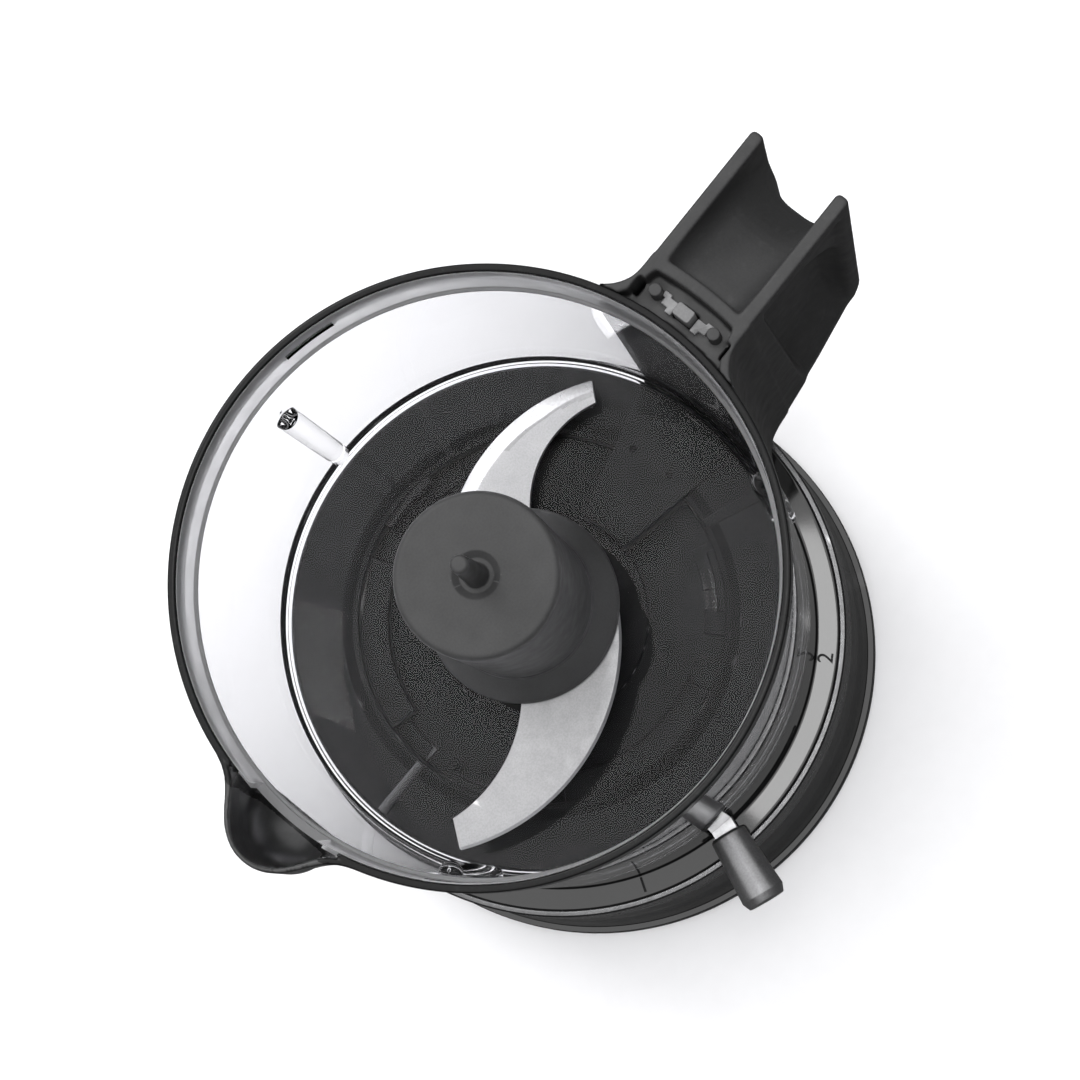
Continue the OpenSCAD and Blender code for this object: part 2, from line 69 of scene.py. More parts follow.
handle_high = node_box("bowl_handle")[1]
hub_low, hub_high = node_box("blade_hub")
band_low, band_high = node_box("trim_band")
HANDLE_X = handle_high[0]  # the handle's far end
RIM_Z = handle_high[2]  # top of the rim and of the handle
HUB_FOOT = hub_low[2]
PIN_TOP = hub_high[2]
BAND_LOW = band_low[2]
BAND_HIGH = band_high[2]
BASE_R = node_box("lower_housing")[1][0]
COLLAR_TOP = node_box("upper_housing")[1][2]  # top of the collar round the spindle
DECK_Z = 92.6  # the deck's highest ring
LEDGE_IN_Z = RIM_Z - 11.2  # the ledge inside the bowl, where its lip begins
BOWL_OUT = 62.6  # radius of the bowl's outer wall
RIM_OUT = 63.1  # radius where the handle meets the rim ring
RIB_AZ = (90, -30, -150)  # azimuths in degrees of the bowl's ribs
SLOT_AZ = (75, -75, -145)  # of the lid's slots in the lip
LUG_AZ = (88, -40, -160)  # of the bayonet lugs and of the deck's tabs over them
ROD_X = 66.5  # the start rod's axis
POST_X = ROD_X + 0.2  # the two pins beside the rod
POST_Y = 7.45
SCREW_AT = (70, 6.5)  # the handle's screws, one on each side
SPOUT = (-62.9, 0, 159.4)  # centre of the pouring lip's cup
CUP_R = 10.4
FIELD_STEP = 0.45  # grid cell of the blended shapes
SHARP = 34  # edges that turn by more than this many degrees stay crisp


# ---------- materials ----------

def nodes_of(name):
    """A new material with its node tree, shader and output."""
    made = bpy.data.materials.new(name)
    made.use_nodes = True
    tree = made.node_tree
    return made, tree, tree.nodes["Principled BSDF"], tree.nodes["Material Output"]


def noise(tree, scale, detail=4.0, stretch=None, rough=0.55):
    """A noise value in object space; scale counts features per metre."""
    coords = tree.nodes.new("ShaderNodeTexCoord").outputs["Object"]
    if stretch:
        mapping = tree.nodes.new("ShaderNodeMapping")
        mapping.inputs["Scale"].default_value = stretch
        tree.links.new(coords, mapping.inputs["Vector"])
        coords = mapping.outputs["Vector"]
    texture = tree.nodes.new("ShaderNodeTexNoise")
    texture.inputs["Scale"].default_value = scale
    texture.inputs["Detail"].default_value = detail
    texture.inputs["Roughness"].default_value = rough
    tree.links.new(coords, texture.inputs["Vector"])
    return texture.outputs["Fac"]


def ramp(tree, value, low, high, start=0.3, end=0.7):
    """Maps a value from start..end to the numbers or colours low..high."""
    if isinstance(low, (int, float)):
        remap = tree.nodes.new("ShaderNodeMapRange")
        remap.inputs["From Min"].default_value = start
        remap.inputs["From Max"].default_value = end
        remap.inputs["To Min"].default_value = low
        remap.inputs["To Max"].default_value = high
        tree.links.new(value, remap.inputs["Value"])
        return remap.outputs["Result"]
    colours = tree.nodes.new("ShaderNodeValToRGB")
    colours.color_ramp.elements[0].position = start
    colours.color_ramp.elements[0].color = (*low, 1)
    colours.color_ramp.elements[1].position = end
    colours.color_ramp.elements[1].color = (*high, 1)
    tree.links.new(value, colours.inputs["Fac"])
    return colours.outputs["Color"]


def mix_colour(tree, factor, first, second):
    """Blends two colour sockets by a factor socket."""
    blend = tree.nodes.new("ShaderNodeMix")
    blend.data_type = "RGBA"
    tree.links.new(factor, blend.inputs["Factor"])
    tree.links.new(first, blend.inputs["A"])
    tree.links.new(second, blend.inputs["B"])
    return blend.outputs["Result"]


def wear_and_highlight_tint(tree, base, tint_colour, at_edges):
    """Blends a colour socket to a lighter tint on sharp convex edges, or in small scuffs all over:
    wear on most finishes, and a painted highlight along the deck's edges.
    """
    if at_edges:
        geometry = tree.nodes.new("ShaderNodeNewGeometry")
        factor = ramp(tree, geometry.outputs["Pointiness"], 0.0, 1.0, 0.55, 0.65)
    else:
        factor = ramp(tree, noise(tree, 420, 3.0, (1, 1, 0.35)), 0.0, 0.35, 0.6, 0.74)
    tint = ramp(tree, noise(tree, 900), tint_colour, tuple(c * 1.25 for c in tint_colour))
    return mix_colour(tree, factor, base, tint)


def bump(tree, shader, heights):
    """Adds up bump layers given as (value socket, distance in millimetres, strength)."""
    last = None
    for value, distance, strength in heights:
        node = tree.nodes.new("ShaderNodeBump")
        node.inputs["Distance"].default_value = distance * MM
        node.inputs["Strength"].default_value = strength
        tree.links.new(value, node.inputs["Height"])
        if last is not None:
            tree.links.new(last, node.inputs["Normal"])
        last = node.outputs["Normal"]
    tree.links.new(last, shader.inputs["Normal"])


def surface(name, dark, light, rough, grain, depth, metallic=0.0, wear_and_highlight=None, mottle=60,
            at_edges=True, specular=0.5, anisotropic=0.0, brushed=None):
    """A solid finish: mottled colour, uneven roughness, fine grain and a lighter tint on the edges,
    which is wear on most finishes and a painted highlight on the deck.
    """
    made, tree, shader, _ = nodes_of(name)
    colour = ramp(tree, noise(tree, mottle, 6.0), dark, light)
    fine = noise(tree, grain, 5.0, brushed, 0.65)
    speck = ramp(tree, noise(tree, grain * 0.6, 2.0), dark, light, 0.35, 0.62)
    colour = mix_colour(tree, ramp(tree, fine, 0.25, 0.75), colour, speck)
    if wear_and_highlight:
        colour = wear_and_highlight_tint(tree, colour, wear_and_highlight, at_edges)
    tree.links.new(colour, shader.inputs["Base Color"])
    tree.links.new(ramp(tree, noise(tree, mottle * 3, 7.0), *rough), shader.inputs["Roughness"])
    shader.inputs["Metallic"].default_value = metallic
    shader.inputs["Specular IOR Level"].default_value = specular
    shader.inputs["Anisotropic"].default_value = anisotropic
    bump(tree, shader, [(fine, depth, 0.6), (noise(tree, mottle, 3.0), depth * 2, 0.3)])
    return made


def grey(value):
    """A neutral colour, very slightly cool."""
    return (value, value, value * 1.02)


def clear_plastic(name, tint, rough, grain, depth, ior, haze=0.0):
    """See-through moulded plastic that lets the lamps through to what it covers."""
    made, tree, shader, output = nodes_of(name)
    tree.links.new(ramp(tree, noise(tree, 35), grey(tint - 0.03), grey(tint)),
                   shader.inputs["Base Color"])
    tree.links.new(ramp(tree, noise(tree, 240, 8.0), *rough), shader.inputs["Roughness"])
    shader.inputs["Transmission Weight"].default_value = 1.0 - haze
    shader.inputs["IOR"].default_value = ior
    bump(tree, shader, [(noise(tree, grain, 3.0), depth, 0.5)])
    paths = tree.nodes.new("ShaderNodeLightPath")
    through = tree.nodes.new("ShaderNodeBsdfTransparent")
    through.inputs["Color"].default_value = (0.9, 0.9, 0.9, 1)
    mixed = tree.nodes.new("ShaderNodeMixShader")
    tree.links.new(paths.outputs["Is Shadow Ray"], mixed.inputs["Fac"])
    tree.links.new(shader.outputs["BSDF"], mixed.inputs[1])
    tree.links.new(through.outputs["BSDF"], mixed.inputs[2])
    tree.links.new(mixed.outputs["Shader"], output.inputs["Surface"])
    return made


def dim_bounce(made, share):
    """Lowers the light that a surface sends on to other objects to a share of its own."""
    tree = made.node_tree
    shader = tree.nodes["Principled BSDF"]
    colour = shader.inputs["Base Color"].links[0].from_socket
    paths = tree.nodes.new("ShaderNodeLightPath")
    reflected = tree.nodes.new("ShaderNodeMath")
    reflected.operation = "MAXIMUM"
    tree.links.new(paths.outputs["Is Diffuse Ray"], reflected.inputs[0])
    tree.links.new(paths.outputs["Is Glossy Ray"], reflected.inputs[1])
    bounced = tree.nodes.new("ShaderNodeMath")
    bounced.operation = "SUBTRACT"
    bounced.use_clamp = True
    tree.links.new(reflected.outputs["Value"], bounced.inputs[0])
    tree.links.new(paths.outputs["Is Transmission Ray"], bounced.inputs[1])
    dimmed = tree.nodes.new("ShaderNodeMix")
    dimmed.data_type = "RGBA"
    dimmed.blend_type = "MULTIPLY"
    dimmed.inputs["B"].default_value = (share, share, share, 1)
    tree.links.new(bounced.outputs["Value"], dimmed.inputs["Factor"])
    tree.links.new(colour, dimmed.inputs["A"])
    tree.links.new(dimmed.outputs["Result"], shader.inputs["Base Color"])


GLOSS = surface("gloss_black", grey(0.005), grey(0.009), (0.03, 0.07), 2500, 0.0015, mottle=40,
                wear_and_highlight=grey(0.03), specular=0.6)
FOOT = surface("foot_black", grey(0.005), grey(0.009), (0.12, 0.2), 2500, 0.002, mottle=40,
               wear_and_highlight=grey(0.015), specular=0.06)
# These dark finishes on the rim ring, its slot strips and the pouring lip's cup are painted shade,
# standing in for how dark the thick clear lip looks.
RIM_PAINTED_DARK = surface("rim_painted_dark", grey(0.005), grey(0.01), (0.16, 0.28), 3500, 0.005, mottle=70,
              wear_and_highlight=grey(0.02), at_edges=False, specular=0.14)
SPOUT_PAINTED_DARK = surface("spout_painted_dark", grey(0.012), grey(0.02), (0.3, 0.42), 3000, 0.015, mottle=90,
                   wear_and_highlight=grey(0.03), at_edges=False, specular=0.5)
# The deck's light edge tint is a painted highlight along the edges of its steps, ledges and panel.
SATIN_EDGE_HIGHLIGHT = surface("deck_plastic_edge_highlight", grey(0.005), grey(0.009), (0.36, 0.48), 3000, 0.0012, mottle=90,
                wear_and_highlight=grey(0.09), specular=0.08)
HANDLE = surface("handle_plastic", grey(0.024), grey(0.032), (0.5, 0.62), 3600, 0.006, mottle=80,
                 wear_and_highlight=grey(0.045), at_edges=False, specular=0.3)
HUB = surface("hub_plastic", grey(0.028), grey(0.036), (0.48, 0.6), 3600, 0.014, mottle=80,
              wear_and_highlight=grey(0.06), specular=0.3)
BLACK = surface("black_plastic", grey(0.012), grey(0.02), (0.4, 0.55), 3000, 0.02, wear_and_highlight=grey(0.04))
BAND = surface("brushed_band", grey(0.08), grey(0.12), (0.22, 0.32), 900, 0.004, metallic=1.0,
               anisotropic=0.6, brushed=(1, 1, 14), wear_and_highlight=grey(0.3))
BLADE = surface("blasted_steel", grey(0.24), grey(0.31), (0.42, 0.52), 4200, 0.02, metallic=0.85,
                mottle=120, wear_and_highlight=grey(0.5))
EDGE = surface("ground_edge", grey(0.19), grey(0.24), (0.24, 0.36), 2600, 0.006, metallic=0.9,
               mottle=90)
LEVER = surface("satin_silver", grey(0.17), grey(0.23), (0.34, 0.44), 3800, 0.008, metallic=0.9,
                mottle=100, wear_and_highlight=grey(0.6))
STEEL = surface("steel", grey(0.45), grey(0.6), (0.22, 0.38), 2600, 0.006, metallic=1.0,
                wear_and_highlight=grey(0.8))
BRONZE = surface("sintered_bronze", (0.34, 0.2, 0.08), (0.46, 0.28, 0.12), (0.4, 0.55), 3800,
                 0.02, metallic=0.9)
RUBBER = surface("rubber", grey(0.014), grey(0.024), (0.65, 0.8), 2600, 0.03)
WHITE = surface("white_plastic", (0.66, 0.64, 0.58), (0.74, 0.72, 0.67), (0.4, 0.52), 2600, 0.01)
TAB = surface("grey_plastic", grey(0.1), grey(0.14), (0.42, 0.55), 3000, 0.012, wear_and_highlight=grey(0.2))
MAGNET = surface("ferrite", grey(0.04), grey(0.06), (0.55, 0.7), 2200, 0.03)
COPPER = surface("enamelled_copper", (0.4, 0.14, 0.05), (0.56, 0.22, 0.08), (0.25, 0.4), 900,
                 0.12, metallic=0.8, brushed=(1, 1, 5))
CARBON = surface("carbon", grey(0.02), grey(0.035), (0.5, 0.65), 3000, 0.01)
BOARD = surface("board_green", (0.01, 0.07, 0.025), (0.02, 0.11, 0.045), (0.35, 0.5), 900, 0.01)
PARTS = surface("board_parts", (0.5, 0.2, 0.03), (0.62, 0.28, 0.05), (0.35, 0.5), 1200, 0.01)
CLEAR = clear_plastic("clear_bowl", 0.95, (0.0, 0.02), 90, 0.002, 1.17)
FROSTED = clear_plastic("frosted_lip", 0.9, (0.48, 0.6), 3200, 0.03, 1.2, 0.12)

FLOOR = surface("floor_white", grey(0.86), grey(0.88), (0.7, 0.8), 300, 0.01)
dim_bounce(FLOOR, 0.09)

SLOT_FINISH = {
    "gloss_black": GLOSS, "black_plastic": BLACK, "band_metal": BAND, "clear_bowl": CLEAR,
    "handle_grey": HANDLE, "light_grey": TAB, "hub_grey": HUB, "blade_steel": BLADE,
    "lever_metal": LEVER, "steel": STEEL, "bronze": BRONZE, "rubber": RUBBER,
    "white_plastic": WHITE, "magnet": MAGNET, "copper": COPPER, "carbon": CARBON,
    "board_green": BOARD, "board_parts": PARTS,
}


# ---------- mesh makers ----------

def piece(name, vertices, faces, finish, body, stands_for, slot, sharp=SHARP, extra=()):
    """A closed mesh from millimetre vertices, riding on a body and standing for CAD nodes.

    extra holds the materials that second_finish() can give to some of its faces.
    """
    mesh = bpy.data.meshes.new(name)
    mesh.from_pydata([tuple(v) for v in np.asarray(vertices, float) * MM], [],
                     [tuple(int(i) for i in f) for f in faces])
    work = bmesh.new()
    work.from_mesh(mesh)
    bmesh.ops.remove_doubles(work, verts=work.verts, dist=1e-6)
    bmesh.ops.dissolve_degenerate(work, edges=work.edges, dist=1e-7)
    bmesh.ops.recalc_face_normals(work, faces=work.faces)
    work.to_mesh(mesh)
    work.free()
    made = bpy.data.objects.new(name, mesh)
    bpy.context.collection.objects.link(made)
    for material in (finish, *extra):
        mesh.materials.append(material)
    smooth(made, sharp)
    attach(made, body)
    if stands_for:
        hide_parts(*stands_for)
    return made


def smooth(made, sharp):
    """Shades a mesh smooth but for edges sharper than the angle."""
    made.data.polygons.foreach_set("use_smooth", [True] * len(made.data.polygons))
    made.data.set_sharp_from_angle(angle=math.radians(sharp))


def second_finish(made, test):
    """Gives a piece's second material to the faces whose centres and normals pass the test."""
    faces = made.data.polygons
    centre, normal = np.empty(3 * len(faces)), np.empty(3 * len(faces))
    faces.foreach_get("center", centre)
    faces.foreach_get("normal", normal)
    chosen = test(centre.reshape(-1, 3).T / MM, normal.reshape(-1, 3).T)
    faces.foreach_set("material_index", chosen.astype(np.int32))


def rounded(profile, steps=5):
    """Points of a closed (r, z, fillet) outline with its corners rounded."""
    points = []
    for i, (r, z, fillet) in enumerate(profile):
        here = np.array([r, z], float)
        to_last = np.array(profile[i - 1][:2]) - here
        to_next = np.array(profile[(i + 1) % len(profile)][:2]) - here
        longest = 0.46 * min(np.linalg.norm(to_last), np.linalg.norm(to_next))
        u = to_last / np.linalg.norm(to_last)
        v = to_next / np.linalg.norm(to_next)
        half = math.acos(np.clip(u @ v, -1, 1)) / 2
        if fillet <= 0 or half > math.radians(89.8):
            points.append(here)
            continue
        reach = min(fillet / math.tan(half), longest)
        radius = reach * math.tan(half)
        centre = here + (u + v) / np.linalg.norm(u + v) * radius / math.sin(half)
        a, b = here + u * reach - centre, here + v * reach - centre
        sweep = math.pi - 2 * half
        for k in range(steps + 1):
            t = k / steps
            arc = (math.sin((1 - t) * sweep) * a + math.sin(t * sweep) * b) / math.sin(sweep)
            points.append(centre + arc)
    return np.array(points)


def filled_in(outline, longest=5.0, near=0.35):
    """The outline with points added to its long sides, so that they shade flat to their ends."""
    points = []
    for here, after in zip(outline, np.roll(outline, -1, axis=0)):
        points.append(here)
        length = np.linalg.norm(after - here)
        if length > 4 * near and max(here[0], after[0]) > 0.01:
            stops = [near, *np.linspace(0, length, int(length / longest) + 2)[1:-1], length - near]
            points += [here + (after - here) * (stop / length) for stop in stops]
    return np.array(points)


def turned(profile, steps=5, around=AROUND, at=(0, 0)):
    """Vertices and faces of an outline turned about a vertical axis."""
    outline = filled_in(rounded(profile, steps))
    count = len(outline)
    angles = np.arange(around) * 2 * math.pi / around
    vertices = np.concatenate([
        np.stack([at[0] + outline[:, 0] * math.cos(a), at[1] + outline[:, 0] * math.sin(a),
                  outline[:, 1]], 1) for a in angles])
    faces = [(i * count + j, (i + 1) % around * count + j,
              (i + 1) % around * count + (j + 1) % count, i * count + (j + 1) % count)
             for i in range(around) for j in range(count)]
    return vertices, faces


def turned_along_y(profile, x, z):
    """A turned shape whose axis lies along Y at x and z."""
    vertices, faces = turned(profile, 4, 48)
    return np.stack([x + vertices[:, 0], vertices[:, 2], z - vertices[:, 1]], 1), faces


def prism(outline, low, high):
    """Vertices and faces of a flat outline pulled up from low to high."""
    count = len(outline)
    flat = np.array(outline, float)
    vertices = np.concatenate([np.c_[flat, np.full(count, low)], np.c_[flat, np.full(count, high)]])
    faces = [tuple(range(count))[::-1], tuple(range(count, 2 * count))]
    faces += [(j, (j + 1) % count, count + (j + 1) % count, count + j) for j in range(count)]
    return vertices, faces


def arc_outline(r_in, r_out, start, end, step=1.5):
    """Outline of a piece of a ring between two azimuths in degrees."""
    count = max(2, int(abs(end - start) / step) + 1)
    angles = np.radians(np.linspace(start, end, count))
    outer = np.stack([r_out * np.cos(angles), r_out * np.sin(angles)], 1)
    inner = np.stack([r_in * np.cos(angles), r_in * np.sin(angles)], 1)[::-1]
    return np.concatenate([outer, inner])


def together(*parts):
    """Several (vertices, faces) as one."""
    vertices, faces, offset = [], [], 0
    for v, f in parts:
        vertices.append(np.asarray(v, float))
        faces += [tuple(i + offset for i in face) for face in f]
        offset += len(v)
    return np.concatenate(vertices), faces


def carve(made, parts, operation):
    """Cuts or joins closed shapes into a piece with exact booleans."""
    for vertices, faces in parts:
        mesh = bpy.data.meshes.new("tool")
        mesh.from_pydata([tuple(v) for v in np.asarray(vertices) * MM], [], faces)
        work = bmesh.new()
        work.from_mesh(mesh)
        bmesh.ops.remove_doubles(work, verts=work.verts, dist=1e-6)
        bmesh.ops.recalc_face_normals(work, faces=work.faces)
        work.to_mesh(mesh)
        work.free()
        tool = bpy.data.objects.new("tool", mesh)
        bpy.context.collection.objects.link(tool)
        modifier = made.modifiers.new("cut", "BOOLEAN")
        modifier.operation = operation
        modifier.object = tool
        modifier.solver = "EXACT"
        bpy.context.view_layer.objects.active = made
        bpy.ops.object.modifier_apply(modifier=modifier.name)
        bpy.data.objects.remove(tool)
        bpy.data.meshes.remove(mesh)
    smooth(made, SHARP)


def bevelled(made, width):
    """Rounds a piece's sharp edges."""
    modifier = made.modifiers.new("bevel", "BEVEL")
    modifier.width = width * MM
    modifier.segments = 3
    modifier.limit_method = "ANGLE"
    modifier.angle_limit = math.radians(30)
    bpy.context.view_layer.objects.active = made
    bpy.ops.object.modifier_apply(modifier=modifier.name)
    smooth(made, 50)


# ---------- blended solids from distance fields ----------

def blend_in(a, b, k):
    """Union of two distance fields with a fillet of about k."""
    h = np.maximum(k - np.abs(a - b), 0) / k
    return np.minimum(a, b) - h * h * k / 4


def cut_by(a, b, k):
    """Field a with field b removed, the edge eased by about k."""
    return -blend_in(-a, b, k)


def within(a, b, k):
    """Intersection of two distance fields, the edge eased by about k."""
    return -blend_in(-a, -b, k)


def outline_distance(x, z, outline):
    """Signed distance from points to a closed outline in a plane."""
    best = np.full(x.shape, 1e9)
    inside = np.zeros(x.shape, bool)
    corners = np.array(outline, float)
    for (x0, z0), (x1, z1) in zip(corners, np.roll(corners, -1, axis=0)):
        dx, dz = x1 - x0, z1 - z0
        t = np.clip(((x - x0) * dx + (z - z0) * dz) / (dx * dx + dz * dz), 0, 1)
        best = np.minimum(best, np.hypot(x - x0 - t * dx, z - z0 - t * dz))
        if dz:
            crosses = ((z0 > z) != (z1 > z)) & (x < (z - z0) * dx / dz + x0)
            inside ^= crosses
    return np.where(inside, -best, best)


def skin(field, place, shape, loop=False):
    """Vertices and quads on field = 0 over a grid that place() puts in space.

    Each grid cell that the surface crosses gets one vertex. The vertices are evened out towards
    the middle of their neighbours and moved onto the surface. With loop, the grid closes on itself
    along its first axis.
    """
    points = place(np.indices(shape).reshape(3, -1).T.astype(float)).reshape(*shape, 3)
    value = field(points)
    if loop:
        points = np.concatenate([points, points[:1]])
        value = np.concatenate([value, value[:1]])
    cells = np.array(value.shape) - 1

    def corner(array, d):
        return array[d[0]:d[0] + cells[0], d[1]:d[1] + cells[1], d[2]:d[2] + cells[2]]

    total = np.zeros((*cells, 3))
    count = np.zeros(cells)
    for axis in range(3):
        for first, second in itertools.product((0, 1), repeat=2):
            start = [first, second]
            start.insert(axis, 0)
            end = list(start)
            end[axis] = 1
            a, b = corner(value, start), corner(value, end)
            crossed = (a < 0) != (b < 0)
            t = np.where(crossed, a / np.where(crossed, a - b, 1), 0)[..., None]
            spot = corner(points, start) * (1 - t) + corner(points, end) * t
            total += crossed[..., None] * spot
            count += crossed
    active = count > 0
    index = np.full(cells, -1)
    index[active] = np.arange(active.sum())
    vertices = total[active] / count[active][:, None]
    faces = []
    for axis in range(3):
        u, v = (axis + 1) % 3, (axis + 2) % 3
        a = np.moveaxis(value, (axis, u, v), (0, 1, 2))
        ids = np.moveaxis(index, (axis, u, v), (0, 1, 2))
        n0, nu, nv = ids.shape
        crossed = (a[:n0, :nu, :nv] < 0) != (a[1:n0 + 1, :nu, :nv] < 0)
        i, j, k = np.nonzero(crossed)
        keep = np.ones(len(i), bool)
        if not (loop and u == 0):
            keep &= j > 0
        if not (loop and v == 0):
            keep &= k > 0
        i, j, k = i[keep], j[keep], k[keep]
        quad = np.stack([ids[i, j - 1, k - 1], ids[i, j, k - 1], ids[i, j, k], ids[i, j - 1, k]], 1)
        outward = a[i, j, k] < 0
        faces.append(np.where(outward[:, None], quad, quad[:, ::-1]))
    faces = np.concatenate(faces)

    first, second = faces.ravel(), np.roll(faces, -1, axis=1).ravel()
    links = np.maximum(np.bincount(first, minlength=len(vertices)), 1)
    for _ in range(5):
        sums = [np.bincount(first, vertices[second, axis], len(vertices)) for axis in range(3)]
        middle = np.stack(sums, 1) / links[:, None]
        vertices = settle(field, vertices * 0.5 + middle * 0.5)
    return settle(field, vertices), faces


def settle(field, vertices, reach=0.05):
    """Moves points along the field's slope onto its surface."""
    slope = np.stack([(field(vertices + reach * e) - field(vertices - reach * e)) / (2 * reach)
                      for e in np.eye(3)], -1)
    size = np.maximum((slope ** 2).sum(-1), 0.2)
    return vertices - (field(vertices) / size)[:, None] * slope * 0.9


def box_grid(low, high, step):
    """A box's grid placing and shape for skin()."""
    low = np.array(low, float)
    shape = tuple(np.ceil((np.array(high) - low) / step).astype(int) + 1)
    return (lambda index: low + index * step), shape


# ---------- base ----------

WALL = 2.6  # of the base shell
BOSS_AT = 60  # radius of the circle of screw bosses
lower = turned([
    (BASE_R - WALL, 0.8, 0), (BASE_R - 0.3, 0.8, 0.3), (BASE_R, 1.5, 0.5), (BASE_R - 0.2, 5.9, 0.3),
    (BASE_R - 1.7, 6.01, 0.2), (BASE_R - 2.3, 12.6, 30), (BASE_R - 3.2, 24, 60), (66.9, 44.5, 0.3),
    (66.5, 44.9, 0.1), (64.3, 44.9, 0.3), (BASE_R - 3.2 - WALL, 24, 60),
    (BASE_R - 2.2 - WALL, 12.6, 30), (BASE_R - 0.6 - WALL, 6.3, 10)])
bosses = []
for a in (45, 135, 225, 315):
    spot = (BOSS_AT * math.cos(math.radians(a)), BOSS_AT * math.sin(math.radians(a)))
    bosses.append(turned([(1.65, 3.8, 0), (4, 3.8, 0.3), (4, 15.8, 0.4), (1.65, 15.8, 0.2)],
                         3, 32, spot))
base_shell = piece("base_shell", *lower, FOOT, "base", ["lower_housing"], "gloss_black",
                   extra=(GLOSS,))


gland_hole = turned_along_y([(0, 55, 0), (5.1, 55, 0), (5.1, 80, 0), (0, 80, 0)], 0, 15)
carve(base_shell, [gland_hole], "DIFFERENCE")
# The step round the foot is glossy.
second_finish(base_shell, lambda at, out: (out[2] > 0.5) & (at[2] > 5) & (at[2] < 6.5))
piece("base_bosses", *together(*bosses), BLACK, "base", [], "gloss_black")

# The band narrows slightly towards its top, and its corners are eased.
band = turned([
    (65.9, BAND_LOW, 0), (67.1, BAND_LOW, 0.15), (67.5, BAND_LOW + 0.4, 0.3),
    (67.2, BAND_HIGH - 0.4, 0.3), (66.8, BAND_HIGH, 0.15), (65.9, BAND_HIGH, 0)], 4)
piece("metal_band", *band, BAND, "base", ["trim_band"], "band_metal")

# The skirt inside the band, the sloping ledge, the wall above it, and the deck with its recess and
# the collar round the spindle.
deck = turned([
    (63, BAND_LOW, 0), (65.8, BAND_LOW, 0.2), (65.8, 62.1, 0.2), (65.4, 62.9, 0.3),
    (60.7, 63.23, 0.3), (60.45, 63.7, 0.3), (60.2, 87.4, 0.4), (59.8, 88, 0.4), (57.7, 88, 0.4),
    (57.4, 92, 0.5), (56.8, DECK_Z, 0.5), (45.6, DECK_Z, 0.6), (43.4, 91.4, 0.5),
    (42.1, 91.2, 0.3), (42, 87.2, 0.4), (24.3, 87.2, 0.2), (24, 86.9, 0.2), (6.8, 86.9, 0.5),
    (6.8, COLLAR_TOP, 0.4), (5.05, COLLAR_TOP, 0.2), (5.05, 84.7, 0), (44.4, 84.7, 0.5),
    (44.4, 90.2, 0.5), (54.8, 90.2, 0.5), (54.9, 85.6, 0.3), (57.7, 85.6, 0.5), (58.2, 63.9, 0.3),
    (58.8, 60.8, 0.3), (63, 60.8, 0.2)], 4)
upper = piece("base_upper", *deck, GLOSS, "base", ["upper_housing"], "gloss_black", extra=(SATIN_EDGE_HIGHLIGHT,))
lever_window = prism(arc_outline(55, 64, -106.5, -73.5), 66, 71)
plunger_hole = turned([(0, 40, 0), (1.3, 40, 0), (1.3, 64.5, 0), (0, 64.5, 0)], 2, 24, (62.9, 0))
carve(upper, [lever_window, plunger_hole], "DIFFERENCE")
# The deck is satin, and the wall and the ledge around it are glossy.
second_finish(upper, lambda at, out: (np.hypot(at[0], at[1]) < 60) & (at[2] > 80))

# Lock ledges and stops stand in the deck's recess, each given as inner radius, start and end
# azimuth and top. The low ones leave room for the bowl's lugs, and a tab stands over each lug.
LOW, HIGH = 88.2, 89.9
RECESS_R = 42.2
blocks = [prism(arc_outline(r_in, RECESS_R, start, end), 87, top) for r_in, start, end, top in (
    (37, 67, 81, LOW), (38.7, 81, 98, LOW), (37, 98, 109, LOW), (35.5, 109, 165, HIGH),
    (38, 165, 180, LOW), (37.2, 186, 191, LOW), (37.2, 197, 205, LOW), (36, 227, 285, HIGH),
    (36, 285, 295, LOW), (37, 303, 312, LOW), (37, 318, 333, LOW))]
blocks += [prism(arc_outline(40.2, RECESS_R, a - 10, a + 10), 90.3, 91.1) for a in LUG_AZ]
ledges = piece("deck_ledges", *together(*blocks), SATIN_EDGE_HIGHLIGHT, "base", [], "gloss_black")
bevelled(ledges, 0.35)

RAISED_Z = DECK_Z + 0.3  # top of the panel and of the lines on the deck
panel = piece("deck_panel", *prism(arc_outline(24.6, 56.4, -12, 15), 86.8, RAISED_Z), SATIN_EDGE_HIGHLIGHT,
              "base", [], "gloss_black")
carve(panel, [turned([(0, 91, 0), (0.8, 91, 0), (0.8, 94, 0), (0, 94, 0)], 2, 24, spot)
              for spot in ((43.2, -3), (42.7, 7.1))], "DIFFERENCE")
bevelled(panel, 0.35)
lines = [prism(arc_outline(42.6, 56.6, a - half, a + half), 92.3, RAISED_Z)
         for a, half in ((68, 1.1), (-22.5, 1.5), (180, 1.3))]
steps = piece("deck_steps", *together(*lines), SATIN_EDGE_HIGHLIGHT, "base", [], "gloss_black")
bevelled(steps, 0.2)

MARK_R, MARK_Z = 63, 63.3  # middle of the speed marks on the ledge


